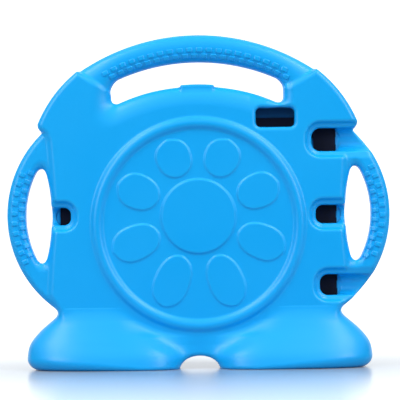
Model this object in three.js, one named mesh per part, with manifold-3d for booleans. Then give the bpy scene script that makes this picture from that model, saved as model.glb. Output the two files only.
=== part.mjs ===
// Moulded foam case for a tablet, standing on its two feet.
// Millimetres, +Z up, floor at z = 0, seen from behind when looking along +Y.
import * as THREE from "three";
import { mergeVertices } from "three/addons/utils/BufferGeometryUtils.js";
import Module from "manifold-3d";

// Tablet and its pocket
const TABLET_WIDTH = 240;
const TABLET_HEIGHT = 169.5;
const TABLET_DEPTH = 7.5;
const TABLET_CORNER = 9;
const POCKET_CLEARANCE = 0.4;
const POCKET_FLOOR = 48;
const WINDOW_CORNER = 6;

// Foam walls round the pocket
const BACK_WALL = 10.5;
const SIDE_WALL = 7.6;
const TOP_WALL = 27.8;
const LIP = 7;
const LIP_SIDE = 21;
const LIP_EDGE = 10.5;
const BODY_ROUND = 5;

// Arched handle
const HANDLE_R = 185;
const HANDLE_WIDTH = 24;
const HANDLE_SETBACK = 2;
const HANDLE_ROUND = 9.5;
const OPENING_TOP_R = 171;
const OPENING_SILL_R = 167;
const OPENING_HEIGHT = 21.4;
const OPENING_HALF = 76;
const OPENING_ROUND = 8;
const SILL_PLATE_HALF = 14.5;
const SILL_PLATE_RISE = 1.9;

// Shoulders
const SHOULDER_REACH = 11.2;
const SHOULDER_DROP = 3;
const SHOULDER_BAR = 28.5;
const SHOULDER_STEP = 1.2;
const SHOULDER_BULGE = 3.6;

// Side handles
const EAR_R = 100;
const EAR_REACH = 39;
const EAR_RISE = 1.3;
const EAR_BAR = 16.3;
const EAR_OPENING_R = 84;
const EAR_INNER_R = 150;
const EAR_END_R = 4.4;
const EAR_SETBACK = 3;
const EAR_ROUND = 5;

// Feet and the arch between them
const FOOT_REACH = 22.6;
const FOOT_DEPTH = 80;
const FOOT_HEIGHT = 53.5;
const SOLE_ROUND = 7;
const ARCH_HALF = 17;
const ARCH_HEIGHT = 11.3;

// Raised ring, disc and petals on the back
const RING_R = 88.25;
const RING_WIDTH = 10.5;
const RING_HEIGHT = 3;
const RING_DROP = 7.4;
const DISC_R = 32.5;
const DISC_RISE = 6.9;
const DISC_HEIGHT = 1.6;
const PETALS = 8;
const PETAL_WIDTH = 30;
const PETAL_HEIGHT = 1.1;
const PETAL_GAP = 5;

// Grip pads on the handles
const PAD_LENGTH = 5;
const PAD_WIDTH = 3.7;
const PAD_HEIGHT = 0.9;
const PAD_GAP = 1.5;
const PAD_PITCH = 8.4;
const PADS_LOWERED = 2.5;
const PADS_OUTWARDS = 0.4;
const HANDLE_PADS = 20;
const EAR_PADS = 10;

// Cut-outs in the back wall
const SLOT_X = 67.7;
const SLOT_WIDTH = 34;
const SLOT_HEIGHT = 17;
const SLOT_ROUND = 4.5;
const SLOT_SCOOP = 1.6;
const PORT_HEIGHT = 18;
const PORT_INNER = 18;
const PORT_ROUND = 7;
const PORT_SPACING = 63.2;
const PORT_OVERRUN = 4;
const CHANNEL_LONG = 32;
const CHANNEL_SHORT = 8;
const CHANNEL_SHALLOW = 6.5;
const CHANNEL_DEEP = 13.5;
const SCOOP_EDGE = 5;
const SCOOP_DEPTH = 4.4;

const TAU = Math.PI * 2;
const pocketHalf = TABLET_WIDTH / 2 + POCKET_CLEARANCE;
const pocketHeight = TABLET_HEIGHT + 2 * POCKET_CLEARANCE;
const pocketDepth = TABLET_DEPTH + POCKET_CLEARANCE;
const pocketZ = POCKET_FLOOR + pocketHeight / 2;
const pocketTop = POCKET_FLOOR + pocketHeight;
const bodyDepth = BACK_WALL + pocketDepth + LIP;
const backY = -bodyDepth / 2;
const frontY = bodyDepth / 2;
const pocketBackY = backY + BACK_WALL;
const pocketFrontY = pocketBackY + pocketDepth;
const sideHalf = pocketHalf + SIDE_WALL;

const sillTop = pocketTop + TOP_WALL;
const sillCentre = sillTop - OPENING_SILL_R;
const openingTop = sillTop + OPENING_HEIGHT;
const openingCentre = openingTop - OPENING_TOP_R;
const handleCentre = openingTop + HANDLE_WIDTH - HANDLE_R;
const openingEnd = OPENING_HALF - OPENING_ROUND;
const openingEndTop = openingCentre + Math.sqrt(OPENING_TOP_R ** 2 - openingEnd ** 2);
const shoulderTopHalf = OPENING_HALF + SHOULDER_BAR;
const shoulderTop = handleCentre + Math.sqrt(HANDLE_R ** 2 - shoulderTopHalf ** 2);

const earHalf = sideHalf + EAR_REACH;
const earX = earHalf - EAR_R;
const earZ = pocketZ + EAR_RISE;
const footHalf = sideHalf + FOOT_REACH;
const ringZ = pocketZ - RING_DROP;
const discZ = ringZ + DISC_RISE;

// Three ports on the right and a smaller one on the left, from the top down.
const ports = [
  { side: 1, inner: 1.17, rise: 1.033, height: 1.11, out: CHANNEL_LONG, exit: CHANNEL_SHALLOW },
  { side: 1, inner: 1, rise: 0.006, height: 0.89, out: CHANNEL_SHORT, exit: CHANNEL_DEEP },
  { side: 1, inner: 0.83, rise: -0.968, height: 1, out: CHANNEL_LONG, exit: CHANNEL_SHALLOW },
  { side: -1, inner: 0.5, rise: 0.011, height: 0.84, out: CHANNEL_SHORT, exit: CHANNEL_DEEP },
].map((port) => ({
  ...port,
  inner: port.inner * PORT_INNER,
  rise: port.rise * PORT_SPACING,
  height: port.height * PORT_HEIGHT,
  round: port.height * PORT_ROUND,
}));

const wasm = await Module();
wasm.setup();

function solid(geometry) {
  const bare = new THREE.BufferGeometry();
  const flat = geometry.index ? geometry.toNonIndexed() : geometry;
  bare.setAttribute("position", flat.getAttribute("position"));
  const merged = mergeVertices(bare, 1e-4);
  return new wasm.Manifold(
    new wasm.Mesh({
      numProp: 3,
      vertProperties: new Float32Array(merged.attributes.position.array),
      triVerts: new Uint32Array(merged.index.array),
    }),
  );
}

function geometryOf(manifold) {
  const mesh = manifold.getMesh();
  const geometry = new THREE.BufferGeometry();
  const positions = new Float32Array(mesh.vertProperties);
  geometry.setAttribute("position", new THREE.BufferAttribute(positions, 3));
  geometry.setIndex(new THREE.BufferAttribute(new Uint32Array(mesh.triVerts), 1));
  const flat = geometry.toNonIndexed();
  flat.computeVertexNormals();
  return flat;
}

function at(x, z) {
  return new THREE.Vector2(x, z);
}

// Points of an arc in the XZ plane, both ends included.
function arc(x, z, radius, from, to, steps) {
  const points = [];
  for (let i = 0; i <= steps; i++) {
    const angle = from + ((to - from) * i) / steps;
    points.push(at(x + radius * Math.cos(angle), z + radius * Math.sin(angle)));
  }
  return points;
}

// Points of a soft corner that leaves the first point and is pulled towards the second.
function bend(from, pull, to, steps) {
  return new THREE.QuadraticBezierCurve(from, pull, to).getPoints(steps);
}

function mirrored(points) {
  return points.map((p) => at(-p.x, p.y)).reverse();
}

// Rounded rectangle in the XZ plane.
function panel(left, right, low, high, radius, steps) {
  return [
    ...arc(right - radius, high - radius, radius, 0, TAU / 4, steps),
    ...arc(left + radius, high - radius, radius, TAU / 4, TAU / 2, steps),
    ...arc(left + radius, low + radius, radius, TAU / 2, (3 * TAU) / 4, steps),
    ...arc(right - radius, low + radius, radius, (3 * TAU) / 4, TAU, steps),
  ];
}

// Slab with rounded edges between two depths.
function slab(points, back, front, round = 0, steps = 0, holes = []) {
  const shape = new THREE.Shape(points);
  for (const hole of holes) shape.holes.push(new THREE.Path(hole));
  const geometry = new THREE.ExtrudeGeometry(shape, {
    depth: front - back - 2 * round,
    bevelEnabled: round > 0,
    bevelThickness: round,
    bevelSize: round,
    bevelOffset: -round,
    bevelSegments: steps,
  });
  geometry.translate(0, 0, round - front);
  geometry.rotateX(TAU / 4);
  return solid(geometry);
}

// Smooth value at a height through a few [height, value] points.
function along(points, z) {
  const last = points.length - 1;
  if (z <= points[0][0]) return points[0][1];
  if (z >= points[last][0]) return points[last][1];
  const slope = (k) => {
    const below = points[Math.max(k - 1, 0)];
    const above = points[Math.min(k + 1, last)];
    return (above[1] - below[1]) / (above[0] - below[0]);
  };
  const i = points.findIndex((p) => p[0] > z) - 1;
  const span = points[i + 1][0] - points[i][0];
  const t = (z - points[i][0]) / span;
  const ease = t * t * (3 - 2 * t);
  const leave = slope(i) * t * (1 - t) * (1 - t);
  const arrive = slope(i + 1) * t * t * (t - 1);
  return points[i][1] * (1 - ease) + points[i + 1][1] * ease + span * (leave + arrive);
}

function body() {
  const angle = Math.acos(openingEnd / OPENING_SILL_R);
  const plate = Math.asin(SILL_PLATE_HALF / OPENING_SILL_R);
  const slope = SILL_PLATE_RISE / OPENING_SILL_R;
  const sill = [
    ...arc(0, sillCentre, OPENING_SILL_R, angle, TAU / 4 - plate - slope, 9),
    ...arc(0, sillCentre, OPENING_SILL_R + SILL_PLATE_RISE, TAU / 4 - plate, TAU / 4 + plate, 4),
    ...arc(0, sillCentre, OPENING_SILL_R, TAU / 4 + plate + slope, Math.PI - angle, 9),
  ];
  const sillEnd = sill[0].y;
  const waist = FOOT_HEIGHT - BODY_ROUND / 3;
  const side = sideHalf;
  const out = SHOULDER_REACH / 4;
  const shoulder = at(side + SHOULDER_REACH, pocketTop - SHOULDER_DROP);
  const top = at(shoulderTopHalf, shoulderTop + SHOULDER_STEP);
  const bulge = at(top.y - shoulder.y, shoulder.x - top.x).setLength(2 * SHOULDER_BULGE);
  const diagonal = shoulder.clone().lerp(top, 0.5).add(bulge);
  const earLow = earZ - EAR_R / 3;
  const earHigh = earZ + EAR_R * 0.43;
  const right = [
    at(side - FOOT_REACH, SOLE_ROUND / 2),
    at(side - FOOT_REACH / 3, 0.7 * waist),
    ...bend(at(side - 2 * out, waist - out), at(side - 1.4 * out, waist + out), at(side + out / 3, waist + 3 * out), 3),
    ...bend(at(side + 1.2 * out, waist + 5 * out), at(side + out, waist + 10 * out), at(side + out / 3, earLow), 3),
    at(side - out / 4, earZ - 5 * out),
    at(side - out / 4, earZ + 5 * out),
    at(side + out / 3, earHigh),
    ...bend(
      at(side + 0.9 * out, shoulder.y - 7 * out),
      at(side + out, shoulder.y - 3.5 * out),
      at(shoulder.x - out / 2, shoulder.y - 2.3 * out),
      4,
    ),
    at(shoulder.x + out / 8, shoulder.y - out),
    shoulder,
    ...bend(shoulder, diagonal, top, 5).slice(1),
    at(OPENING_HALF + OPENING_ROUND * 0.56, openingEndTop - OPENING_ROUND * 0.8),
    ...bend(
      at(OPENING_HALF, openingEndTop - OPENING_ROUND * 1.4),
      at(OPENING_HALF - OPENING_ROUND / 8, sillEnd),
      at(openingEnd + OPENING_ROUND / 20, sillEnd - OPENING_ROUND / 40),
      5,
    ),
  ];
  return slab([...right, ...sill.slice(1, -1), ...mirrored(right)], backY, frontY, BODY_ROUND, 3);
}

function topHandle() {
  const start = Math.acos((shoulderTopHalf - SHOULDER_STEP) / HANDLE_R);
  const outer = arc(0, handleCentre, HANDLE_R, start, Math.PI - start, 34);
  const innerStart = Math.acos(openingEnd / OPENING_TOP_R);
  const inner = arc(0, openingCentre, OPENING_TOP_R, innerStart, Math.PI - innerStart, 26);
  const end = [
    ...bend(
      at(openingEnd, openingEndTop),
      at(OPENING_HALF, openingEndTop - OPENING_ROUND * 0.4),
      at(OPENING_HALF, openingEndTop - OPENING_ROUND * 1.3),
      4,
    ),
    at(OPENING_HALF + OPENING_ROUND * 0.7, openingEndTop - OPENING_ROUND * 3.5),
    at(shoulderTopHalf - OPENING_ROUND / 4, shoulderTop - OPENING_ROUND * 3.8),
  ];
  const points = [...outer, ...mirrored(end), ...inner.slice(1, -1).reverse(), ...end];
  return slab(points, backY + HANDLE_SETBACK, frontY - HANDLE_SETBACK, HANDLE_ROUND, 3);
}

// Opening between two bulging sides with rounded ends.
function earOpening() {
  const outerX = earHalf - EAR_BAR - EAR_OPENING_R;
  const innerX = sideHalf + EAR_INNER_R;
  const outerReach = EAR_OPENING_R - EAR_END_R;
  const innerReach = EAR_INNER_R - EAR_END_R;
  const apart = innerX - outerX;
  const endX = outerX + (apart ** 2 + outerReach ** 2 - innerReach ** 2) / (2 * apart);
  const rise = Math.sqrt(outerReach ** 2 - (endX - outerX) ** 2);
  const outer = Math.atan2(rise, endX - outerX);
  const inner = Math.atan2(rise, endX - innerX);
  return [
    ...arc(outerX, earZ, EAR_OPENING_R, -outer, outer, 16),
    ...arc(endX, earZ + rise, EAR_END_R, outer, inner, 4).slice(1),
    ...arc(innerX, earZ, EAR_INNER_R, inner, TAU - inner, 8).slice(1),
    ...arc(endX, earZ - rise, EAR_END_R, TAU - inner, TAU - outer, 4).slice(1, -1),
  ];
}

function ear() {
  const low = -Math.acos((sideHalf + SHOULDER_REACH / 3 - earX) / EAR_R);
  const high = Math.acos((sideHalf + SHOULDER_REACH * 0.9 - earX) / EAR_R);
  const outer = arc(earX, earZ, EAR_R, low, high, 22);
  const points = [
    ...outer,
    at(sideHalf - EAR_BAR / 2, outer[22].y),
    at(sideHalf - EAR_BAR, outer[22].y - EAR_BAR),
    at(sideHalf - EAR_BAR, outer[0].y + EAR_BAR * 0.85),
    at(sideHalf - EAR_BAR * 0.6, outer[0].y - EAR_BAR * 0.3),
  ];
  return slab(points, backY + EAR_SETBACK, frontY - EAR_SETBACK, EAR_ROUND, 3, [earOpening()]);
}

// Foot as a stack of soft-cornered loops, from the sole up into the body.
function foot() {
  const h = FOOT_HEIGHT;
  const d = FOOT_DEPTH / 2;
  const wide = footHalf - ARCH_HALF;
  const outer = [
    [0, footHalf],
    [0.22 * h, footHalf],
    [0.43 * h, footHalf - 0.02 * wide],
    [0.64 * h, footHalf - 0.087 * wide],
    [0.86 * h, sideHalf - FOOT_REACH / 9],
    [h, sideHalf - 0.4 * FOOT_REACH],
  ];
  const inner = [
    [0, ARCH_HALF],
    [0.22 * h, ARCH_HALF + 0.008 * wide],
    [0.4 * h, ARCH_HALF + 0.082 * wide],
    [0.6 * h, ARCH_HALF + 0.217 * wide],
    [0.86 * h, ARCH_HALF + 0.337 * wide],
    [h, ARCH_HALF + 0.412 * wide],
  ];
  const depth = [
    [0, d],
    [0.22 * h, 0.92 * d],
    [0.43 * h, 0.75 * d],
    [0.64 * h, 0.55 * d],
    [0.86 * h, 1.12 * frontY],
    [h, 0.65 * frontY],
  ];
  const heights = [0, 0.2, 0.5, 1].map((t) => t * SOLE_ROUND);
  for (let i = 1; i <= 10; i++) heights.push(SOLE_ROUND + ((h - SOLE_ROUND) * i) / 10);
  const around = 36;
  const positions = [];
  for (const z of heights) {
    const drop = Math.max(SOLE_ROUND - z, 0);
    const inset = SOLE_ROUND - Math.sqrt(SOLE_ROUND ** 2 - drop ** 2);
    const near = along(inner, z) + inset;
    const far = along(outer, z) - inset;
    const half = along(depth, z) - inset;
    for (let i = 0; i < around; i++) {
      const c = Math.cos((i * TAU) / around);
      const s = Math.sin((i * TAU) / around);
      const across = Math.sign(c) * Math.abs(c) ** 0.6;
      const deep = Math.sign(s) * Math.abs(s) ** 0.6;
      positions.push((near + far) / 2 + ((far - near) / 2) * across, half * deep, z);
    }
  }
  const index = [];
  const top = (heights.length - 1) * around;
  for (let start = 0; start < top; start += around) {
    for (let i = 0; i < around; i++) {
      const a = start + i;
      const b = start + ((i + 1) % around);
      index.push(a, b, b + around, a, b + around, a + around);
    }
  }
  for (let i = 1; i < around - 1; i++) {
    index.push(0, i + 1, i);
    index.push(top, top + i, top + i + 1);
  }
  const geometry = new THREE.BufferGeometry();
  geometry.setAttribute("position", new THREE.Float32BufferAttribute(positions, 3));
  geometry.setIndex(index);
  return solid(geometry);
}

// Round relief turned about a line along Y, sunk a little into the back wall.
function turned(profile, z, steps) {
  const geometry = new THREE.LatheGeometry(profile.map(([r, y]) => at(r, y)), steps);
  geometry.translate(0, 0, z);
  return solid(geometry);
}

function ring() {
  const profile = [[RING_R + RING_WIDTH / 2, backY + 3], [RING_R - RING_WIDTH / 2, backY + 3]];
  for (let i = 6; i >= 0; i--) {
    const angle = (Math.PI * i) / 6;
    profile.push([RING_R + (RING_WIDTH / 2) * Math.cos(angle), backY - RING_HEIGHT * Math.sin(angle)]);
  }
  profile.push(profile[0]);
  return turned(profile, ringZ, 64);
}

function disc() {
  const top = backY - DISC_HEIGHT;
  return turned(
    [
      [0, top],
      [DISC_R - 2, top],
      [DISC_R - 0.6, top + 0.4],
      [DISC_R, backY - 0.2],
      [DISC_R, backY + 3],
      [0, backY + 3],
    ],
    discZ,
    44,
  );
}

// Leaf-shaped petals between the disc and the ring.
function petals() {
  const room = RING_R - RING_WIDTH / 2;
  const made = [];
  for (let k = 0; k < PETALS; k++) {
    const angle = ((k + 0.5) * TAU) / PETALS;
    const reach = Math.sqrt(room ** 2 - (DISC_RISE * Math.cos(angle)) ** 2) - DISC_RISE * Math.sin(angle);
    const start = at(DISC_R + PETAL_GAP, 0);
    const end = at(reach - PETAL_GAP, 0);
    const middle = at(start.x + 0.55 * (end.x - start.x), PETAL_WIDTH / 2);
    const half = [
      ...bend(start, at(start.x + 2, middle.y), middle, 5),
      ...bend(middle, at(end.x - 3, middle.y), end, 5).slice(1),
    ];
    const other = half.slice(1, -1).map((p) => at(p.x, -p.y)).reverse();
    const origin = at(0, 0);
    const outline = [...half, ...other].map((p) => p.clone().rotateAround(origin, angle).add(at(0, discZ)));
    made.push(slab(outline.reverse(), backY - PETAL_HEIGHT, backY + 2.5, PETAL_HEIGHT, 1));
  }
  return made;
}

// Two staggered rows of pads round a centre, the first number along the arc, the second across it.
function padRows(x, z, radius, middle, face, count, lengthAlong, lengthAcross) {
  const made = [];
  for (const row of [-1, 1]) {
    const rowRadius = radius + (row * (lengthAcross + PAD_GAP)) / 2;
    for (let i = 0; i < count; i++) {
      const step = i - (count - 1) / 2 + 0.25 * row;
      const angle = middle + (step * PAD_PITCH) / radius;
      const pad = new THREE.BoxGeometry(lengthAcross, 6, lengthAlong);
      pad.rotateY(-angle);
      pad.translate(x + rowRadius * Math.cos(angle), face + 3 - PAD_HEIGHT, z + rowRadius * Math.sin(angle));
      made.push(solid(pad));
    }
  }
  return made;
}

function grips() {
  const handleMiddle = HANDLE_R - HANDLE_WIDTH / 2 - PADS_LOWERED;
  const handleFace = backY + HANDLE_SETBACK;
  const earMiddle = EAR_R - EAR_BAR / 2 + PADS_OUTWARDS;
  const earFace = backY + EAR_SETBACK;
  const onEar = padRows(earX, earZ, earMiddle, -0.07, earFace, EAR_PADS, PAD_WIDTH, PAD_LENGTH);
  return [
    ...padRows(0, handleCentre, handleMiddle, TAU / 4, handleFace, HANDLE_PADS, PAD_LENGTH, PAD_WIDTH),
    ...onEar,
    ...onEar.map((pad) => pad.mirror([1, 0, 0])),
  ];
}

// Wedge-shaped channel from a port out through the side, shallower where it leaves.
function channel(port, low, high) {
  const floor = at(pocketHalf, pocketFrontY - 0.5);
  const exit = at(sideHalf + port.out, backY + port.exit);
  const shape = new THREE.Shape([
    at(pocketHalf - port.inner / 2, backY - 5),
    at(exit.x, backY - 5),
    exit,
    floor,
    at(pocketHalf - port.inner / 2, floor.y),
  ]);
  const geometry = new THREE.ExtrudeGeometry(shape, { depth: high - low, bevelEnabled: false });
  geometry.translate(0, 0, low);
  return solid(geometry);
}

function portCuts(port) {
  const low = pocketZ + port.rise - port.height / 2;
  const high = pocketZ + port.rise + port.height / 2;
  const left = pocketHalf - port.inner;
  const hole = panel(left, pocketHalf + PORT_OVERRUN, low, high, port.round, 4);
  const edge = SCOOP_EDGE;
  const scoop = panel(left - edge, sideHalf + port.out + edge, low - edge, high + edge, port.round + edge, 4);
  return [
    slab(hole, backY - 5, pocketFrontY - 1),
    channel(port, low, high),
    slab(scoop, backY - 3 * SCOOP_DEPTH, backY + SCOOP_DEPTH, SCOOP_DEPTH - 0.3, 3),
  ].map((cut) => (port.side > 0 ? cut : cut.mirror([1, 0, 0])));
}

function slotCuts() {
  const left = SLOT_X - SLOT_WIDTH / 2;
  const right = SLOT_X + SLOT_WIDTH / 2;
  const low = pocketTop - SLOT_HEIGHT / 2;
  const high = pocketTop + SLOT_HEIGHT / 2;
  const edge = SLOT_SCOOP;
  const scoop = panel(left - edge, right + edge, low - edge, high + edge, SLOT_ROUND + edge, 4);
  return [
    slab(panel(left, right, low, high, SLOT_ROUND, 4), backY - 5, pocketFrontY - 0.7),
    slab(scoop, backY - 3 * edge, backY + edge, edge - 0.2, 2),
  ];
}

function cuts() {
  const pocket = panel(-pocketHalf, pocketHalf, POCKET_FLOOR, pocketTop, TABLET_CORNER, 5);
  const windowHalf = TABLET_WIDTH / 2 - LIP_SIDE;
  const windowRise = TABLET_HEIGHT / 2 - LIP_EDGE;
  const screen = panel(-windowHalf, windowHalf, pocketZ - windowRise, pocketZ + windowRise, WINDOW_CORNER, 4);
  const arch = arc(0, 0, 1, 0, TAU, 32).slice(1);
  for (const p of arch) p.set(p.x * ARCH_HALF, p.y * ARCH_HEIGHT);
  return [
    slab(pocket, pocketBackY, pocketFrontY),
    slab(screen, pocketFrontY - 1, frontY + 5),
    slab(arch, -FOOT_DEPTH, FOOT_DEPTH),
    ...slotCuts(),
    ...ports.flatMap(portCuts),
  ];
}

function caseSolid() {
  const rightEar = ear();
  const rightFoot = foot();
  const foam = [
    body(),
    topHandle(),
    rightEar,
    rightEar.mirror([1, 0, 0]),
    rightFoot,
    rightFoot.mirror([1, 0, 0]),
    ring(),
    disc(),
    ...petals(),
    ...grips(),
  ];
  return wasm.Manifold.union(foam).subtract(wasm.Manifold.union(cuts()));
}

const part = new THREE.Group();
part.name = "kids_tablet_case";
const foamBlue = new THREE.MeshStandardMaterial({ color: 0x169ff0, roughness: 0.62, metalness: 0 });
const tabletCase = new THREE.Mesh(geometryOf(caseSolid()), foamBlue);
tabletCase.name = "tablet_case";
part.add(tabletCase);

export default part;
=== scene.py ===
# A moulded foam tablet case with a carry handle, side handles and feet, seen from its back.
import math

import bpy
import numpy as np
import openvdb
from bpy.props import FloatProperty, FloatVectorProperty, IntProperty, PointerProperty
from mathutils import Matrix, Vector


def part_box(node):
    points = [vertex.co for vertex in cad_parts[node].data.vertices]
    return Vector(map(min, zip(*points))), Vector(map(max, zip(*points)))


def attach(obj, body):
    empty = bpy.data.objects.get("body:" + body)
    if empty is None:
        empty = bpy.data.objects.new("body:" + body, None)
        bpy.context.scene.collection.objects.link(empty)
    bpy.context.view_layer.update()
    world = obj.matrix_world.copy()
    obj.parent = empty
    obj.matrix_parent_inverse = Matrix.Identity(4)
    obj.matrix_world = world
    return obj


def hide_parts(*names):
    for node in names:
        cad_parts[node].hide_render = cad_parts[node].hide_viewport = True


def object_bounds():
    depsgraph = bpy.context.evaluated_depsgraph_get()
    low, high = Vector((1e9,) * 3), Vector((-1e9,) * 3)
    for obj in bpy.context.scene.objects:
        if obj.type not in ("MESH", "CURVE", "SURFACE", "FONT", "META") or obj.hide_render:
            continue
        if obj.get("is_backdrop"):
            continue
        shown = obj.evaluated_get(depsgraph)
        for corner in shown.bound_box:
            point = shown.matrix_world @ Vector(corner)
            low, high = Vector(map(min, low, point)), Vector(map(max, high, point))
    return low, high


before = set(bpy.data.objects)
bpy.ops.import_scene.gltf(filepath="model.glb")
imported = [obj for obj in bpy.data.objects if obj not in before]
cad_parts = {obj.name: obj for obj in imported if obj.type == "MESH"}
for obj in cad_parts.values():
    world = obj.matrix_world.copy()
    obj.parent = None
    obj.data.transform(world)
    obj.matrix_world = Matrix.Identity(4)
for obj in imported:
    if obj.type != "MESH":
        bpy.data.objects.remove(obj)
CAD_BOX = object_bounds()

bl_info = {
    "name": "Foam tablet case",
    "version": (1, 0, 0),
    "blender": (4, 5, 0),
    "location": "3D View > Sidebar > Tablet case",
    "description": "Builds a moulded foam tablet case with grip pads, and a plain studio",
    "category": "Object",
}

MM = 0.001
FULL_TURN = 2 * math.pi
MOST_TRIANGLES = 186000
LAMP_AIM = (0, 0, 0.14)
PICTURE_WIDTH = 0.35026


def length(name, millimetres, description):
    return FloatProperty(
        name=name,
        description=description,
        default=millimetres * MM,
        min=0.0,
        unit="LENGTH",
        precision=4,
    )


def colour(name, default, description):
    return FloatVectorProperty(
        name=name,
        description=description,
        default=default,
        size=3,
        min=0.0,
        max=1.0,
        subtype="COLOR",
    )


class TabletCaseSizes(bpy.types.PropertyGroup):
    tablet_width: length("Tablet width", 240, "Long side of the tablet")
    tablet_height: length("Tablet height", 169.5, "Short side of the tablet")
    tablet_depth: length("Tablet depth", 7.5, "Thickness of the tablet")
    clearance: length("Clearance", 0.4, "Room left round the tablet")
    pocket_floor: length("Pocket floor", 48, "Height of the pocket above the ground")
    back_wall: length("Back wall", 10.5, "Foam behind the tablet")
    side_wall: length("Side wall", 7.6, "Foam beside the tablet")
    top_wall: length("Top wall", 27.8, "Foam between the tablet and the handle opening")
    lip: length("Lip", 7, "Foam in front of the tablet")
    lip_side: length("Lip at the sides", 21, "How far the lip covers the tablet's short sides")
    lip_edge: length("Lip above and below", 10.5, "How far the lip covers the long sides")
    handle_width: length("Handle width", 24, "Height of the handle's bar")
    opening_height: length("Handle opening", 21.4, "Height of the opening in the middle")
    opening_half: length("Half opening", 76, "Half the length of the handle opening")
    ear_reach: length("Side handle reach", 39, "How far a side handle stands out")
    ear_bar: length("Side handle bar", 16.3, "Width of the side handle's bar")
    foot_reach: length("Foot reach", 22.6, "How far a foot stands out past the body")
    foot_depth: length("Foot depth", 79.2, "Feet from front to back")
    foot_height: length("Foot height", 53.5, "Height at which a foot ends in the body")
    mesh_step: length("Mesh step", 1.0, "Spacing of the grid that the foam is meshed on")


class TabletCaseRelief(bpy.types.PropertyGroup):
    ring_radius: length("Ring radius", 88.25, "Middle radius of the raised ring")
    ring_width: length("Ring width", 10.5, "Width of the raised ring")
    ring_height: length("Ring height", 3, "How far the ring stands proud")
    disc_radius: length("Disc radius", 32.5, "Radius of the raised disc")
    disc_height: length("Disc height", 1.6, "How far the disc stands proud")
    petals: IntProperty(name="Petals", description="Number of petals", default=8, min=3, max=16)
    petal_width: length("Petal width", 30, "Widest part of a petal")
    petal_height: length("Petal height", 1.1, "How far a petal stands proud")


class TabletCaseGrip(bpy.types.PropertyGroup):
    pitch: length("Pitch", 8.4, "Distance from pad to pad along a row")
    pad_length: length("Pad length", 5, "Long side of a pad")
    pad_width: length("Pad width", 3.7, "Short side of a pad")
    pad_height: length("Pad height", 0.55, "How far a pad stands proud")
    gap: length("Row gap", 1.5, "Space between the two rows")
    handle_pads: IntProperty(name="Handle pads", description="Pads in a row on the top handle", default=20)
    ear_pads: IntProperty(name="Side pads", description="Pads in a row on a side handle", default=10)


class TabletCaseFinish(bpy.types.PropertyGroup):
    foam: colour("Foam", (0.0005, 0.4, 0.93), "Colour of the foam")
    # Pale foam: the random tone of the grain, and a painted highlight on convex edges.
    foam_pale: colour("Pale foam", (0.006, 0.47, 0.98), "Colour on rubbed edges and in the grain")
    # Painted shade: near-black stands in for the shade on the lip's inner face in the pocket and on the
    # slot's blind floor, which are the same blue foam.
    painted_shade: colour("Inside", (0.0003, 0.003, 0.018), "Colour of the inner face of the lip")
    roughness: FloatProperty(
        name="Roughness", description="Roughness of the foam", default=0.37, min=0, max=1
    )
    grain: length("Grain", 0.55, "Size of the fine grain of the foam's skin")
    grain_depth: length("Grain depth", 0.03, "Depth of the fine grain")


class TabletCaseStudio(bpy.types.PropertyGroup):
    distance: length("Camera distance", 1800, "Distance from the case to the camera")
    height: length("Camera height", 90, "Height of the camera above the floor")
    aim_height: length("Aim height", 147.2, "Height on the case at the middle of the picture")
    aim_side: length("Aim sideways", 1.5, "Place on the case at the middle of the picture, to the right")
    roll: FloatProperty(
        name="Roll", description="Turn of the photograph", default=math.radians(0.65), subtype="ANGLE"
    )
    floor: colour("Floor", (0.34, 0.39, 0.45), "Colour of the floor")
    high_power: FloatProperty(
        name="High lights", description="Power of each high light", default=4.7, min=0
    )
    side_power: FloatProperty(
        name="Side lights", description="Power of each light at the side", default=7.7, min=0
    )
    sky: FloatProperty(
        name="Sky", description="Strength of the light from overhead", default=0.55, min=0
    )


class Value:
    """A node socket that can be used in a Python expression."""

    def __init__(self, graph, socket):
        self.graph = graph
        self.socket = socket

    def math(self, operation, *others):
        return self.graph.math(operation, self, *others)

    def __add__(self, other):
        return self.math("ADD", other)

    def __radd__(self, other):
        return self.graph.math("ADD", other, self)

    def __sub__(self, other):
        return self.math("SUBTRACT", other)

    def __mul__(self, other):
        return self.math("MULTIPLY", other)

    def __rmul__(self, other):
        return self.graph.math("MULTIPLY", other, self)

    def __truediv__(self, other):
        return self.math("DIVIDE", other)


class Graph:
    """Adds nodes to one node tree."""

    def __init__(self, tree):
        self.tree = tree
        tree.nodes.clear()

    def node(self, kind, settings=None, **inputs):
        made = self.tree.nodes.new(kind)
        for key, value in (settings or {}).items():
            setattr(made, key, value)
        for key, value in inputs.items():
            self.feed(self.find(made, key), value)
        return made

    def find(self, node, key):
        words = key.replace("_", " ").lower()
        if words.startswith("input "):
            return node.inputs[int(words[6:])]
        for socket in node.inputs:
            if socket.enabled and socket.name.lower() == words:
                return socket
        raise KeyError(f"{node.bl_idname} has no input {key}")

    def feed(self, socket, value):
        if isinstance(value, Value):
            self.tree.links.new(value.socket, socket)
        else:
            socket.default_value = value

    def out(self, node, key=0):
        if isinstance(key, int):
            return Value(self, node.outputs[key])
        found = [s for s in node.outputs if s.enabled and s.name == key]
        return Value(self, found[0])

    def math(self, operation, *values):
        made = self.tree.nodes.new("ShaderNodeMath")
        made.operation = operation
        for socket, value in zip(made.inputs, values):
            self.feed(socket, value)
        return Value(self, made.outputs[0])

    def vector(self, x, y, z):
        return self.out(self.node("ShaderNodeCombineXYZ", X=x, Y=y, Z=z))

    def blend(self, factor, first, second):
        made = self.node("ShaderNodeMix", {"data_type": "RGBA", "clamp_factor": True})
        self.feed(made.inputs[0], factor)
        self.feed(made.inputs[6], first)
        self.feed(made.inputs[7], second)
        return Value(self, made.outputs[2])


def soft_min(a, b, reach):
    overlap = np.maximum(reach - np.abs(a - b), 0)
    return np.minimum(a, b) - overlap * overlap / (4 * reach)


def soft_max(a, b, reach):
    return -soft_min(-a, -b, reach)


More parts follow.
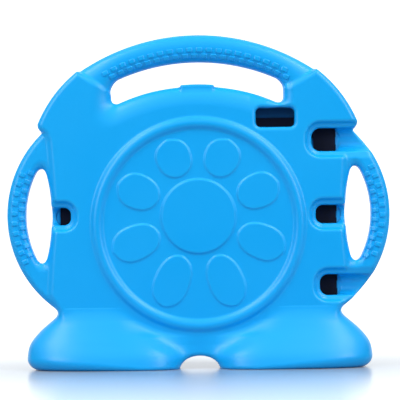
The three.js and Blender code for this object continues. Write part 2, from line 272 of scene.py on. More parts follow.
def round_max(a, b, radius):
    """Both at once, with the edge between them rounded."""
    corner = np.hypot(np.maximum(a + radius, 0), np.maximum(b + radius, 0))
    return np.minimum(np.maximum(a, b), -radius) + corner


def panel(x, z, left, right, low, high, radius):
    dx = np.abs(x - (left + right) / 2) - (right - left) / 2 + radius
    dz = np.abs(z - (low + high) / 2) - (high - low) / 2 + radius
    outside = np.hypot(np.maximum(dx, 0), np.maximum(dz, 0))
    return outside + np.minimum(np.maximum(dx, dz), 0) - radius


def loop_distance(points, x, z):
    """Distance to a closed outline, negative inside it."""
    nearest = np.inf
    inside = False
    for (ax, az), (bx, bz) in zip(points, points[1:] + points[:1]):
        ex, ez = bx - ax, bz - az
        px, pz = x - ax, z - az
        t = np.clip((px * ex + pz * ez) / (ex * ex + ez * ez), 0, 1)
        nearest = np.minimum(nearest, (px - t * ex) ** 2 + (pz - t * ez) ** 2)
        if ez:
            crosses = (az > z) != (bz > z)
            inside = inside ^ (crosses & (px < pz * (ex / ez)))
    return np.where(inside, -1, 1) * np.sqrt(nearest)


def bend(start, pull, end, steps):
    """Points of a soft corner that is pulled towards its second point."""
    made = []
    for i in range(steps + 1):
        t = i / steps
        made.append(
            tuple((1 - t) ** 2 * a + 2 * t * (1 - t) * b + t * t * c for a, b, c in zip(start, pull, end))
        )
    return made


def smooth_curve(points, z):
    """Smooth value at each height through a few (height, value) points."""
    h = np.array([p[0] for p in points], float)
    v = np.array([p[1] for p in points], float)
    slope = np.empty_like(v)
    slope[1:-1] = (v[2:] - v[:-2]) / (h[2:] - h[:-2])
    slope[0] = (v[1] - v[0]) / (h[1] - h[0])
    slope[-1] = (v[-1] - v[-2]) / (h[-1] - h[-2])
    level = np.clip(z, h[0], h[-1])
    i = np.clip(np.searchsorted(h, level, side="right") - 1, 0, len(h) - 2)
    span = h[i + 1] - h[i]
    t = (level - h[i]) / span
    ease = t * t * (3 - 2 * t)
    leave = slope[i] * t * (1 - t) ** 2
    arrive = slope[i + 1] * t * t * (t - 1)
    return v[i] * (1 - ease) + v[i + 1] * ease + span * (leave + arrive)


class CaseForm:
    """The foam as a distance field in millimetres, negative inside the foam."""

    joint_blend = 2.5
    hole_blend = 4.0
    port_blend = 3.0
    body_round = 5.0
    body_low = 3.5
    sill_edge = 11.0
    sill_edge_less = 5.0
    sill_taper = 0.62
    handle_r = 185.0
    handle_setback = 2.0
    opening_top_r = 171.0
    sill_r = 167.0
    opening_round = 8.0
    plate_half = 14.5
    plate_rise = 1.9
    shoulder_reach = 11.2
    shoulder_bar = 28.5
    shoulder_step = 1.2
    shoulder_bulge = 7.2
    ear_r = 100.0
    ear_opening_r = 84.0
    ear_inner_r = 150.0
    ear_blunt = 9.5
    ear_setback = 3.0
    ear_round = 5.5
    sole_round = 11.0
    sole_round_inside = 3.0
    foot_blend = 5.0
    foot_blend_more = 9.0
    foot_bulge = 2.6
    foot_bulge_inside = 3.2
    arch_half = 17.0
    arch_height = 11.3
    ring_drop = 7.4
    disc_rise = 6.9
    petal_gap = 5.0
    pocket_corner = 9.0
    window_corner = 6.0
    # centre sideways, width, height, corner
    slot = (67.7, 34.0, 17.0, 4.5)
    # side, reach inwards, rise, height, corner, run outwards, depth at the exit
    ports = (
        (1, 21.1, 65.3, 20.0, 7.8, 32.0, 10.0),
        (1, 18.0, 0.4, 16.0, 6.2, 8.0, 13.5),
        (1, 15.0, -61.2, 18.0, 7.0, 32.0, 10.0),
        (-1, 9.0, 0.7, 15.1, 5.9, 8.0, 13.5),
    )
    pads_below_top = 16.4
    pads_inwards = 1.8
    scoop_edge = 5.0
    scoop_depth = 4.4

    def __init__(self, sizes, relief):
        for group in (sizes, relief):
            for key in group.bl_rna.properties.keys():
                value = getattr(group, key)
                if isinstance(value, float):
                    setattr(self, key, value / MM)
        self.petals = relief.petals
        self.pocket_half = self.tablet_width / 2 + self.clearance
        self.pocket_top = self.pocket_floor + self.tablet_height + 2 * self.clearance
        self.pocket_z = (self.pocket_floor + self.pocket_top) / 2
        self.pocket_depth = self.tablet_depth + self.clearance
        self.half_depth = (self.back_wall + self.pocket_depth + self.lip) / 2
        self.back = -self.half_depth
        self.pocket_back = self.back + self.back_wall
        self.pocket_front = self.pocket_back + self.pocket_depth
        self.side = self.pocket_half + self.side_wall
        self.sill_top = self.pocket_top + self.top_wall
        self.sill_z = self.sill_top - self.sill_r
        self.opening_z = self.sill_top + self.opening_height - self.opening_top_r
        self.handle_z = self.sill_top + self.opening_height + self.handle_width - self.handle_r
        self.ear_x = self.side + self.ear_reach - self.ear_r
        self.ear_z = self.pocket_z + 1.3
        self.shoulder_top = self.opening_half + self.shoulder_bar
        self.foot_half = self.side + self.foot_reach
        self.ring_z = self.pocket_z - self.ring_drop
        self.disc_z = self.ring_z + self.disc_rise
        self.outline = self.body_outline()
        self.leaves = self.petal_outlines()

    def body_outline(self):
        far = -500.0
        side = self.side
        waist = self.foot_height - self.body_round / 3
        out = self.shoulder_reach / 4
        shoulder = (side + self.shoulder_reach, self.pocket_top - 3)
        top_rise = math.sqrt(self.handle_r**2 - self.shoulder_top**2)
        top = (self.shoulder_top, self.handle_z + top_rise + self.shoulder_step)
        chord = (top[0] - shoulder[0], top[1] - shoulder[1])
        swell = self.shoulder_bulge / math.hypot(*chord)
        bulge = (
            (shoulder[0] + top[0]) / 2 + chord[1] * swell,
            (shoulder[1] + top[1]) / 2 - chord[0] * swell,
        )
        soft = self.opening_round
        end = self.opening_half
        end_top = self.opening_z + math.sqrt(self.opening_top_r**2 - (end - soft) ** 2)
        low_ear = self.ear_z - self.ear_r / 3
        neck = shoulder[1]
        low = self.body_low
        points = [(far, low), (side - self.foot_reach, low), (side - self.foot_reach / 3, 0.7 * waist)]
        points += bend(
            (side - 2 * out, waist - out),
            (side - 1.4 * out, waist + out),
            (side + 1, waist + 3 * out),
            6,
        )
        points += bend(
            (side + 1.2 * out, waist + 5 * out),
            (side + out, waist + 10 * out),
            (side + 1, low_ear),
            6,
        )
        points += [(side - 0.7, self.ear_z - 5 * out), (side - 0.7, self.ear_z + 5 * out)]
        points += [(side + 1, self.ear_z + 0.43 * self.ear_r)]
        points += bend(
            (side + 0.9 * out, neck - 7 * out),
            (side + out, neck - 3.5 * out),
            (shoulder[0] - out / 2, neck - 2.3 * out),
            6,
        )
        points += bend(
            (shoulder[0], neck - 1.4 * out), (shoulder[0] + out / 4, neck - out / 3), shoulder, 3
        )
        points += bend(shoulder, bulge, top, 12)[1:]
        points += [(end + 0.56 * soft, end_top - 0.8 * soft), (60.0, end_top - 4)]
        return points + [(0.0, end_top + 1), (far, end_top + 1)]

    def petal_outlines(self):
        room = self.ring_radius - self.ring_width / 2
        made = []
        for k in range(self.petals):
            angle = (k + 0.5) * FULL_TURN / self.petals
            c, s = math.cos(angle), math.sin(angle)
            if c < 0:
                continue
            reach = math.sqrt(room**2 - (self.disc_rise * c) ** 2) - self.disc_rise * s
            start = self.disc_radius + self.petal_gap
            end = reach - self.petal_gap
            wide = self.petal_width / 2
            middle = start + 0.55 * (end - start)
            half = bend((start, 0), (start + 2, wide), (middle, wide), 8)
            half += bend((middle, wide), (end - 3, wide), (end, 0), 8)[1:]
            loop = half + [(u, -v) for u, v in half[-2:0:-1]]
            made.append([(u * c - v * s, self.disc_z + u * s + v * c) for u, v in loop])
        return made

    def foot_wall(self, x, y, z):
        h = self.foot_height
        d = self.foot_depth / 2
        far = smooth_curve(
            [
                (0, self.foot_half),
                (0.22 * h, self.foot_half),
                (0.43 * h, self.foot_half - 2.6),
                (0.64 * h, self.foot_half - 11.6),
                (0.86 * h, self.side - 2.5),
                (h, self.side - 9),
            ],
            z,
        )
        near = smooth_curve(
            [
                (0, self.arch_half),
                (0.22 * h, self.arch_half + 1),
                (0.4 * h, self.arch_half + 11),
                (0.6 * h, self.arch_half + 29),
                (0.86 * h, self.arch_half + 45),
                (h, self.arch_half + 55),
            ],
            z,
        )
        half = smooth_curve(
            [
                (0, d),
                (0.22 * h, 0.92 * d),
                (0.43 * h, 0.75 * d),
                (0.64 * h, 0.55 * d),
                (0.86 * h, 1.12 * self.half_depth),
                (h, 0.65 * self.half_depth),
            ],
            z,
        )
        u = (2 * x - near - far) / (far - near)
        v = np.abs(y) / half
        bulge = np.where(u > 0, self.foot_bulge, self.foot_bulge_inside)
        return (np.abs(u) ** bulge + v**bulge) ** (1 / bulge), (far - near) / 2, half

    def foot(self, x, y, z):
        step = 0.5
        shape, wide, deep = self.foot_wall(x, y, z)
        sideways = (self.foot_wall(x + step, y, z)[0] - self.foot_wall(x - step, y, z)[0]) / (2 * step)
        inwards = (self.foot_wall(x, y + step, z)[0] - self.foot_wall(x, y - step, z)[0]) / (2 * step)
        upwards = (self.foot_wall(x, y, z + step)[0] - self.foot_wall(x, y, z - step)[0]) / (2 * step)
        steep = np.sqrt(sideways**2 + inwards**2 + upwards**2)
        wall = (shape - 1) / np.maximum(steep, 0.6 / np.maximum(wide, deep))
        outside = np.clip((x - 0.4 * self.side) / (0.6 * self.side), 0, 1)
        sole = self.sole_round_inside + outside * (self.sole_round - self.sole_round_inside)
        wall = round_max(wall, -z, sole)
        return soft_max(wall, z - self.foot_height, 3)

    def relief(self, x, y, z):
        """Ring, disc and petals on the back."""
        half = self.ring_width / 2
        radius = (half**2 + self.ring_height**2) / (2 * self.ring_height)
        across = np.hypot(x, z - self.ring_z) - self.ring_radius
        form = np.hypot(across, y - (self.back - self.ring_height + radius)) - radius
        disc = np.hypot(x, z - self.disc_z) - self.disc_radius
        disc = round_max(disc, self.back - self.disc_height - y, 1.4)
        form = np.minimum(form, np.maximum(disc, y - self.back - 3))
        for leaf in self.leaves:
            petal = round_max(loop_distance(leaf, np.abs(x), z), self.back - self.petal_height - y, 1.0)
            form = np.minimum(form, np.maximum(petal, y - self.back - 3))
        return form

    def port(self, x, y, z, side, reach, rise, height, corner, run, leave):
        out = x * side
        low = self.pocket_z + rise - height / 2
        high = self.pocket_z + rise + height / 2
        left = self.pocket_half - reach
        hole = np.maximum(
            panel(out, z, left, self.pocket_half + 4, low, high, corner), y - self.pocket_front + 1
        )
        floor = self.pocket_front - 0.5
        exit_floor = self.back + leave
        start = self.pocket_half
        slope = (exit_floor - floor) / (self.side + run - start)
        ramp = (y - floor - slope * (out - start)) / math.hypot(1, slope)
        channel = panel(out, z, self.pocket_half - reach / 2, self.side + run + 6, low, high, 0.5)
        channel = round_max(channel, np.maximum(ramp, y - floor), 0.46 * height)
        edge = self.scoop_edge
        scoop = panel(out, z, left - edge, self.side + run + 6, low - edge, high + edge, corner + edge)
        scoop = round_max(scoop, y - self.back - self.scoop_depth, 3.8)
        return soft_min(np.minimum(hole, channel), scoop, 3.5)

    def distance(self, x, y, z):
        ax = np.abs(x)
        ay = np.abs(y)
        under_top = np.hypot(ax, z - self.opening_z) - self.opening_top_r
        over_sill = self.sill_r - np.hypot(ax, z - self.sill_z)
        opening = round_max(under_top, ax - self.opening_half, self.opening_round)
        opening = round_max(opening, over_sill, self.opening_round)
        body = round_max(loop_distance(self.outline, ax, z), ay - self.half_depth, self.body_round)
        edge = self.sill_edge - self.sill_edge_less * np.clip((x - 46) / 14, 0, 1)
        body = round_max(body, -self.sill_taper * opening, edge)
        plate = np.maximum(np.abs(over_sill + self.plate_rise - 4) - 4, ax - self.plate_half)
        body = soft_min(body, round_max(plate, ay - 0.7 * self.half_depth, 2.0), 1.5)

        over_bar = np.hypot(ax, z - self.handle_z) - self.handle_r
        high = np.clip((opening - over_bar) / 2, 8, 30)
        deep = self.half_depth - self.handle_setback
        across = np.abs(over_bar + high) / high
        oval = ((across**2.3 + (ay / deep) ** 2.3) ** (1 / 2.3) - 1) * deep
        handle = np.maximum(np.maximum(oval, -opening), ax - self.shoulder_top + 1.5)
        form = soft_min(body, handle, self.joint_blend)

        lens = round_max(
            np.hypot(ax - (self.side + self.ear_reach - self.ear_bar - self.ear_opening_r), z - self.ear_z)
            - self.ear_opening_r,
            np.hypot(ax - self.side - self.ear_inner_r, z - self.ear_z) - self.ear_inner_r,
            self.ear_blunt,
        )
        ear = np.hypot(ax - self.ear_x, z - self.ear_z) - self.ear_r
        ear = np.maximum(np.maximum(ear, -lens), self.side - 16 - ax)
        ear = round_max(ear, ay - self.half_depth + self.ear_setback, self.ear_round)
        form = soft_min(form, ear, self.joint_blend)

        if np.min(z) < self.foot_height + 12:
            low = np.clip((0.8 * self.foot_height - z) / 15, 0, 1)
            blend = self.foot_blend_more * low * np.clip((self.side - 14 - ax) / 22, 0, 1)
            form = soft_min(form, self.foot(ax, y, z), self.foot_blend + blend)
        if np.min(y) < self.back + 6:
            form = soft_min(form, self.relief(x, y, z), 1.5)

        arch = (np.hypot(x / self.arch_half, z / self.arch_height) - 1) * self.arch_height
        form = soft_max(form, -arch, self.hole_blend)
        half = self.pocket_half
        pocket = panel(x, z, -half, half, self.pocket_floor, self.pocket_top, self.pocket_corner)
        middle = (self.pocket_back + self.pocket_front) / 2
        pocket = round_max(pocket, np.abs(y - middle) - self.pocket_depth / 2, 0.6)
        form = np.maximum(form, -pocket)
        half = self.tablet_width / 2 - self.lip_side
        rise = self.tablet_height / 2 - self.lip_edge
        screen = panel(x, z, -half, half, self.pocket_z - rise, self.pocket_z + rise, self.window_corner)
        form = soft_max(form, -np.maximum(screen, self.pocket_front - 1 - y), self.hole_blend)
        cx, wide, high, corner = self.slot
        low = self.pocket_top - high / 2
        slot = panel(x, z, cx - wide / 2, cx + wide / 2, low, low + high, corner)
        form = soft_max(form, -np.maximum(slot, y - self.pocket_front + 0.7), self.hole_blend)
        for port in self.ports:
            form = soft_max(form, -self.port(x, y, z, *port), self.port_blend)
        return form

    def painted_shade(self, x, y, z):
        """How dark the inside is painted, as painted shade: the pocket behind the back wall, and the blind
        part of the slot.
        """
        half = self.pocket_half + 0.6
        top = self.pocket_top + 0.6
        pocket = panel(x, z, -half, half, self.pocket_floor - 0.6, top, self.pocket_corner)
        cx, wide, high, corner = self.slot
        wide += 1.5
        slot_top = self.pocket_top + high / 2 + 0.8
        slot = panel(x, z, cx - wide / 2, cx + wide / 2, self.pocket_top - high, slot_top, corner)
        hole = slot
        for side, reach, rise, height, round_by, _, _ in self.ports:
            low = self.pocket_z + rise - height / 2
            port = panel(x * side, z, half - reach - 1, half + 4, low, low + height, round_by)
            hole = np.minimum(hole, port)
        in_front = y > self.pocket_front + np.where(hole < 0, 3.0, 0.4)
        # Painted shade: full in the pocket behind the back wall, 0.8 on the slot's blind floor, none on
        # faces in front of the pocket.
        deep = np.clip((y - self.pocket_back - 1.0) / 1.5, 0, 1) * (pocket < 0)
        blind = 0.8 * np.clip((y - self.back - 4) / 5, 0, 1) * (slot < 0) * (z > self.pocket_top)
        return np.where(in_front, 0, np.maximum(deep, blind))

    def slope(self, points, step=0.25):
        """Outward direction of the surface at each point."""
        made = np.empty_like(points)
        for axis in range(3):
            ahead = points.copy()
            behind = points.copy()
            ahead[:, axis] += step
            behind[:, axis] -= step
            made[:, axis] = self.distance(*ahead.T) - self.distance(*behind.T)
        return made / np.maximum(np.linalg.norm(made, axis=1, keepdims=True), 1e-9)


def sample_field(form, low, high, step):
    """The distance field on an even grid, slice by slice."""
    x, y, z = (np.arange(a, b + step, step) for a, b in zip(low, high))
    field = np.empty((len(x), len(y), len(z)), np.float32)
    for start in range(0, len(z), 24):
        part = z[start : start + 24]
        field[:, :, start : start + 24] = form.distance(
            x[:, None, None], y[None, :, None], part[None, None, :]
        )
    return field


def remesh(form, name, step):
    """Closed mesh of the field, thinned, with every corner drawn onto the true surface."""
    low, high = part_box("tablet_case")
    lowest = np.array(low) / MM - 3 * step
    highest = np.array(high) / MM + 3 * step
    grid = openvdb.FloatGrid(3 * step)
    grid.copyFromArray(sample_field(form, lowest, highest, step))
    points, triangles, quads = grid.convertToPolygons(0.0, 0.0)
    points = points * step + lowest
    rough = bpy.data.meshes.new(name + "_rough")
    rough.from_pydata(points.tolist(), [], triangles.tolist() + quads.tolist())
    rough.validate()
    piece = bpy.data.objects.new(name + "_rough", rough)
    bpy.context.collection.objects.link(piece)
    faces = len(triangles) + 2 * len(quads)
    thin = piece.modifiers.new("thin", "DECIMATE")
    thin.ratio = min(1.0, MOST_TRIANGLES / faces)
    depsgraph = bpy.context.evaluated_depsgraph_get()
    mesh = bpy.data.meshes.new_from_object(piece.evaluated_get(depsgraph), depsgraph=depsgraph)
    bpy.data.objects.remove(piece)
    bpy.data.meshes.remove(rough)
    mesh.name = name
    place = np.empty(len(mesh.vertices) * 3)
    mesh.vertices.foreach_get("co", place)
    place = place.reshape(-1, 3)
    for _ in range(3):
        gap = np.clip(form.distance(*place.T), -step, step)
        place = place - form.slope(place) * gap[:, None] * 0.9
    place[:, 2] = np.maximum(place[:, 2], 0)
    normals = form.slope(place)
    mesh.vertices.foreach_set("co", (place * MM).ravel())
    mesh.update()
    first = mesh.polygons[0]
    if first.normal.dot(Vector(normals[first.vertices[0]])) < 0:
        mesh.flip_normals()
    mesh.polygons.foreach_set("use_smooth", np.ones(len(mesh.polygons), bool))
    mesh.normals_split_custom_set_from_vertices(normals.tolist())
    return mesh, place


def add_mask(mesh, name, values):
    layer = mesh.attributes.new(name, "FLOAT", "POINT")
    layer.data.foreach_set("value", np.ascontiguousarray(values, np.float32))


def foam_material(name, finish, masks):
    material = bpy.data.materials.new(name)
    material.use_nodes = True
    g = Graph(material.node_tree)
    place = g.out(g.node("ShaderNodeTexCoord"), "Object")
    cloudy = g.out(g.node("ShaderNodeTexNoise", Vector=place, Scale=14.0, Detail=3.0, Roughness=0.5))
    grain = g.out(
        g.node("ShaderNodeTexNoise", Vector=place, Scale=1 / finish.grain, Detail=2.0, Roughness=0.6)
    )
    pebble = g.out(
        g.node(
            "ShaderNodeTexVoronoi",
            {"feature": "SMOOTH_F1"},
            Vector=place,
            Scale=0.6 / finish.grain,
            Smoothness=0.6,
        )
    )
    pale = 0.1 * (grain - 0.5) + 0.5 * (cloudy - 0.5)
    base = (*finish.foam, 1)
    paler = (*finish.foam_pale, 1)
    # Painted highlight: convex edges, taken from the edge mask, are painted paler where light would catch
    # them.
    if "edge" in masks:
        edge_highlight = g.out(g.node("ShaderNodeAttribute", {"attribute_name": "edge"}), "Fac")
        pale = pale + 0.6 * edge_highlight
    tint = g.blend(pale + 0.15, base, paler)
    rough = finish.roughness + 0.14 * (cloudy - 0.5) + 0.1 * (grain - 0.5)
    # Painted shade: the inside mask turns the foam near-black and rougher where it lies deep in shade.
    if "inside" in masks:
        inside = g.out(g.node("ShaderNodeAttribute", {"attribute_name": "inside"}), "Fac")
        tint = g.blend(inside, tint, (*finish.painted_shade, 1))
        rough = rough + 0.5 * inside
    bump = g.node(
        "ShaderNodeBump",
        Strength=0.7,
        Distance=finish.grain_depth,
        Height=0.6 * grain + 0.4 * pebble,
    )
    shader = g.node(
        "ShaderNodeBsdfPrincipled",
        Base_Color=tint,
        Roughness=rough,
        Specular_IOR_Level=0.42,
        Normal=g.out(bump),
    )
    output = g.node("ShaderNodeOutputMaterial", Surface=g.out(shader))
    output.is_active_output = True
    return material


def link_object(name, mesh, material):
    mesh.materials.clear()
    mesh.materials.append(material)
    piece = bpy.data.objects.new(name, mesh)
    bpy.context.collection.objects.link(piece)
    return piece


class CASE_OT_foam(bpy.types.Operator):
    """Build the moulded foam case"""

    bl_idname = "tablet_case.foam"
    bl_label = "Foam case"

    def execute(self, context):
        scene = context.scene
        form = CaseForm(scene.case_sizes, scene.case_relief)
        mesh, place = remesh(form, "foam_case", form.mesh_step)
        x, y, z = place.T
        # Painted shade for the pocket and the slot, kept as the inside mask.
        add_mask(mesh, "inside", form.painted_shade(x, y, z))
        # Edge mask for the painted highlight: rises towards 1 where the surface curves outwards.
        reach = 1.6
        around = form.slope(place)
        swell = form.distance(*(place - reach * around).T) + reach
        add_mask(mesh, "edge", np.clip(swell / reach * 2.0, 0, 1))
        material = foam_material("blue_foam", scene.case_finish, ("edge", "inside"))
        piece = link_object("foam_case", mesh, material)
        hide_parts("tablet_case")
        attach(piece, "root")
        return {"FINISHED"}


def pad_tree(material):
    """Two staggered rows of soft pads round a centre, laid on the foam under them."""
    tree = bpy.data.node_groups.new("grip pads", "GeometryNodeTree")
    face = tree.interface
    face.new_socket(name="Geometry", in_out="OUTPUT", socket_type="NodeSocketGeometry")
    face.new_socket(name="Foam", in_out="INPUT", socket_type="NodeSocketObject")
    for name in ("Centre X", "Centre Z", "Radius", "Middle", "Pitch"):
        face.new_socket(name=name, in_out="INPUT", socket_type="NodeSocketFloat")
    for name in ("Row step", "Across", "Along", "Height"):
        face.new_socket(name=name, in_out="INPUT", socket_type="NodeSocketFloat")
    face.new_socket(name="Count", in_out="INPUT", socket_type="NodeSocketInt")
    g = Graph(tree)
    given = g.node("NodeGroupInput")
    radius = g.out(given, "Radius")
    count = g.out(given, "Count")
    points = g.node("GeometryNodePoints", Count=2 * count)
    index = g.out(g.node("GeometryNodeInputIndex"))
    row = 2 * index.math("MODULO", 2.0) - 1
    step = (index / 2).math("FLOOR") - (count - 1) / 2 + 0.25 * row
    angle = g.out(given, "Middle") + step * g.out(given, "Pitch") / radius
    away = radius + row * g.out(given, "Row step") / 2
    across = g.vector(angle.math("COSINE"), 0.0, angle.math("SINE"))
    spot = g.vector(
        g.out(given, "Centre X") + away * angle.math("COSINE"),
        -0.1,
        g.out(given, "Centre Z") + away * angle.math("SINE"),
    )
    foam = g.node("GeometryNodeObjectInfo", {"transform_space": "ORIGINAL"}, Object=g.out(given, "Foam"))
    ray = g.node(
        "GeometryNodeRaycast",
        Target_Geometry=g.out(foam, "Geometry"),
        Source_Position=spot,
        Ray_Direction=(0.0, 1.0, 0.0),
        Ray_Length=0.2,
    )
    seated = g.node(
        "GeometryNodeSetPosition", Geometry=g.out(points), Position=g.out(ray, "Hit Position")
    )
    turn = g.node(
        "FunctionNodeAxesToRotation",
        {"primary_axis": "Z", "secondary_axis": "X"},
        Primary_Axis=g.out(ray, "Hit Normal"),
        Secondary_Axis=across,
    )
    wide = g.out(given, "Across") * 1.12
    long = g.out(given, "Along") * 1.12
    size = g.vector(wide, long, 2.4 * g.out(given, "Height"))
    block = g.node("GeometryNodeMeshCube", Size=size)
    soft = g.node("GeometryNodeSubdivisionSurface", Mesh=g.out(block, "Mesh"), Level=2, Edge_Crease=0.72)
    laid = g.node(
        "GeometryNodeInstanceOnPoints",
        Points=g.out(seated),
        Instance=g.out(soft),
        Rotation=g.out(turn),
    )
    real = g.node("GeometryNodeRealizeInstances", Geometry=g.out(laid))
    smooth = g.node("GeometryNodeSetShadeSmooth", Geometry=g.out(real))
    dressed = g.node("GeometryNodeSetMaterial", Geometry=g.out(smooth), Material=material)
    g.node("NodeGroupOutput", Geometry=g.out(dressed))
    return tree


class CASE_OT_grips(bpy.types.Operator):
    """Lay the grip pads on the handle and the side handles"""

    bl_idname = "tablet_case.grips"
    bl_label = "Grip pads"

    def execute(self, context):
        scene = context.scene
        grip = scene.case_grip
        form = CaseForm(scene.case_sizes, scene.case_relief)
        foam = scene.objects.get("foam_case")
        if foam is None:
            raise RuntimeError("build the foam case first")
        material = foam_material("grip_foam", scene.case_finish, ())
        tree = pad_tree(material)
        sockets = {s.name: s.identifier for s in tree.interface.items_tree if s.in_out == "INPUT"}
        ear_radius = (form.ear_r - form.ear_bar / 2 - form.pads_inwards) * MM
        top_radius = (form.handle_r - form.pads_below_top) * MM
        arcs = [
            (0.0, form.handle_z * MM, top_radius, math.pi / 2, True),
            (form.ear_x * MM, form.ear_z * MM, ear_radius, 0.0, False),
            (-form.ear_x * MM, form.ear_z * MM, ear_radius, math.pi, False),
        ]
        made = []
        for x, z, radius, middle, on_top in arcs:
            across, along = grip.pad_length, grip.pad_width
            if on_top:
                across, along = along, across
            values = {
                "Foam": foam,
                "Centre X": x,
                "Centre Z": z,
                "Radius": radius,
                "Middle": middle,
                "Pitch": grip.pitch,
                "Row step": across + grip.gap,
                "Across": across,
                "Along": along,
                "Height": grip.pad_height,
                "Count": grip.handle_pads if on_top else grip.ear_pads,
            }
            holder = bpy.data.objects.new("pads", bpy.data.meshes.new("pads"))
            scene.collection.objects.link(holder)
            modifier = holder.modifiers.new("pads", "NODES")
            modifier.node_group = tree
            for name, value in values.items():
                modifier[sockets[name]] = value
            depsgraph = context.evaluated_depsgraph_get()
            mesh = bpy.data.meshes.new_from_object(holder.evaluated_get(depsgraph), depsgraph=depsgraph)
            holder.modifiers.remove(modifier)
            bpy.data.objects.remove(holder)
            made.append(mesh)
        names = ("grip_pads_top", "grip_pads_right", "grip_pads_left")
        for name, mesh in zip(names, made):
            if not mesh.polygons:
                raise RuntimeError(name + " came out empty")
            mesh.name = name
            piece = link_object(name, mesh, material)
            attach(piece, "root")
        return {"FINISHED"}


def plain_material(name, colour_value, roughness, near_glow, far_glow):
    """Pale surface that the camera and glossy rays see brighter away from the case."""
    material = bpy.data.materials.new(name)
    material.use_nodes = True
    g = Graph(material.node_tree)
    rays = g.node("ShaderNodeLightPath")
    seen = g.math("MAXIMUM", g.out(rays, "Is Camera Ray"), g.out(rays, "Is Glossy Ray"))
    seen = g.math("MAXIMUM", seen, g.out(rays, "Is Transmission Ray"))
    shader = g.node(
        "ShaderNodeBsdfPrincipled",
        Base_Color=(*colour_value, 1),
        Roughness=roughness,
        Specular_IOR_Level=0.3,
    )
    place = g.out(g.node("ShaderNodeTexCoord"), "Object")
    away = g.node("ShaderNodeVectorMath", {"operation": "LENGTH"}, input_0=place)
    glow = g.node(
        "ShaderNodeMapRange",
        Value=g.out(away, "Value"),
        From_Min=0.1,
        From_Max=0.5,
        To_Min=near_glow,
        To_Max=far_glow,
    )
    light = g.node("ShaderNodeEmission", Color=(0.97, 0.99, 1, 1), Strength=g.out(glow) * seen)
    total = g.node("ShaderNodeAddShader", input_0=g.out(shader), input_1=g.out(light))
    g.node("ShaderNodeOutputMaterial", Surface=g.out(total))
    return material


def flat_sheet(name, corners, material):
    mesh = bpy.data.meshes.new(name)
    mesh.from_pydata(corners, [], [(0, 1, 2, 3)])
    return link_object(name, mesh, material)


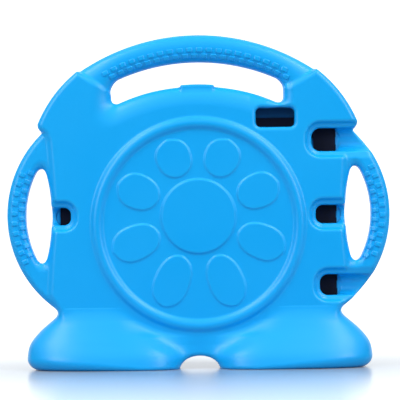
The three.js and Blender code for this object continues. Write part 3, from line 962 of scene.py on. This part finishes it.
class CASE_OT_studio(bpy.types.Operator):
    """Set the floor, the backdrop, the lights and the camera"""

    bl_idname = "tablet_case.studio"
    bl_label = "Studio"

    def execute(self, context):
        scene = context.scene
        studio = scene.case_studio
        floor = flat_sheet(
            "floor",
            [(-4, -0.5, 0), (4, -0.5, 0), (4, 4, 0), (-4, 4, 0)],
            plain_material("pale_floor", studio.floor, 0.22, 0.0, 0.55),
        )
        backdrop = flat_sheet(
            "backdrop",
            [(-4, 3, -0.01), (4, 3, -0.01), (4, 3, 4), (-4, 3, 4)],
            plain_material("white_backdrop", (0.9, 0.9, 0.9), 0.9, 1.0, 1.0),
        )
        floor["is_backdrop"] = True
        backdrop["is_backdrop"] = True
        self.lights(scene, studio)
        self.camera(scene, studio)
        scene.view_settings.view_transform = "Standard"
        return {"FINISHED"}

    def lamp(self, scene, name, place, wide, high, power):
        light = bpy.data.lights.new(name, "AREA")
        light.shape = "RECTANGLE"
        light.size = wide
        light.size_y = high
        light.energy = power
        lamp = bpy.data.objects.new(name, light)
        lamp.location = place
        lamp.rotation_euler = (Vector(LAMP_AIM) - Vector(place)).to_track_quat("-Z", "Y").to_euler()
        scene.collection.objects.link(lamp)

    def lights(self, scene, studio):
        self.lamp(scene, "left_light", (-1.0, -1.1, 0.7), 0.4, 0.75, studio.side_power)
        self.lamp(scene, "right_light", (1.08, -1.02, 0.7), 0.4, 0.75, studio.side_power)
        self.lamp(scene, "high_left_light", (-0.66, -0.42, 1.1), 0.35, 0.5, studio.high_power)
        self.lamp(scene, "high_right_light", (0.66, -0.42, 1.1), 0.35, 0.5, studio.high_power)
        world = bpy.data.worlds.new("studio")
        world.use_nodes = True
        g = Graph(world.node_tree)
        look = g.node("ShaderNodeSeparateXYZ", Vector=g.out(g.node("ShaderNodeTexCoord"), "Generated"))
        rise = g.node(
            "ShaderNodeMapRange",
            {"interpolation_type": "SMOOTHSTEP"},
            Value=g.out(look, "Z"),
            From_Min=0.1,
            From_Max=0.5,
            To_Min=0.08 * studio.sky,
            To_Max=studio.sky,
        )
        sky = g.node("ShaderNodeBackground", Color=(0.95, 0.98, 1, 1), Strength=g.out(rise))
        seen = g.node("ShaderNodeBackground", Color=(1, 1, 1, 1), Strength=1.0)
        rays = g.node("ShaderNodeLightPath")
        total = g.node(
            "ShaderNodeMixShader", Fac=g.out(rays, "Is Camera Ray"), input_1=g.out(sky), input_2=g.out(seen)
        )
        g.node("ShaderNodeOutputWorld", Surface=g.out(total))
        scene.world = world

    def camera(self, scene, studio):
        view = bpy.data.cameras.new("camera")
        view.sensor_fit = "HORIZONTAL"
        view.sensor_width = 36.0
        view.lens = 36.0 * studio.distance / PICTURE_WIDTH
        turn = Matrix.Rotation(studio.roll, 2)
        aside, above = turn @ Vector((studio.aim_side, studio.aim_height - studio.height))
        view.shift_x = aside / PICTURE_WIDTH
        view.shift_y = above / PICTURE_WIDTH
        camera = bpy.data.objects.new("camera", view)
        camera.location = (0, -studio.distance, studio.height)
        camera.rotation_euler = (math.pi / 2, studio.roll, 0)
        scene.collection.objects.link(camera)
        scene.camera = camera


class CASE_PT_panel(bpy.types.Panel):
    """Sizes and steps of the tablet case"""

    bl_idname = "CASE_PT_panel"
    bl_label = "Tablet case"
    bl_space_type = "VIEW_3D"
    bl_region_type = "UI"
    bl_category = "Tablet case"

    def draw(self, context):
        layout = self.layout
        for key in GROUPS:
            box = layout.box()
            group = getattr(context.scene, key)
            for name in group.__annotations__:
                box.prop(group, name)
        for operator in STEPS:
            layout.operator(operator.bl_idname)


GROUPS = {
    "case_sizes": TabletCaseSizes,
    "case_relief": TabletCaseRelief,
    "case_grip": TabletCaseGrip,
    "case_finish": TabletCaseFinish,
    "case_studio": TabletCaseStudio,
}
STEPS = (CASE_OT_foam, CASE_OT_grips, CASE_OT_studio)


def register():
    for kind in (*GROUPS.values(), *STEPS, CASE_PT_panel):
        bpy.utils.register_class(kind)
    for key, kind in GROUPS.items():
        setattr(bpy.types.Scene, key, PointerProperty(type=kind))


def unregister():
    for key in GROUPS:
        delattr(bpy.types.Scene, key)
    for kind in reversed((*GROUPS.values(), *STEPS, CASE_PT_panel)):
        bpy.utils.unregister_class(kind)


def corners(box):
    return [[float(v) for v in corner] for corner in box]


def main():
    register()
    bpy.ops.tablet_case.foam()
    bpy.ops.tablet_case.grips()
    bpy.ops.tablet_case.studio()
    sizes = {"cad": corners(CAD_BOX), "visual": corners(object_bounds())}


if __name__ == "__main__":
    main()
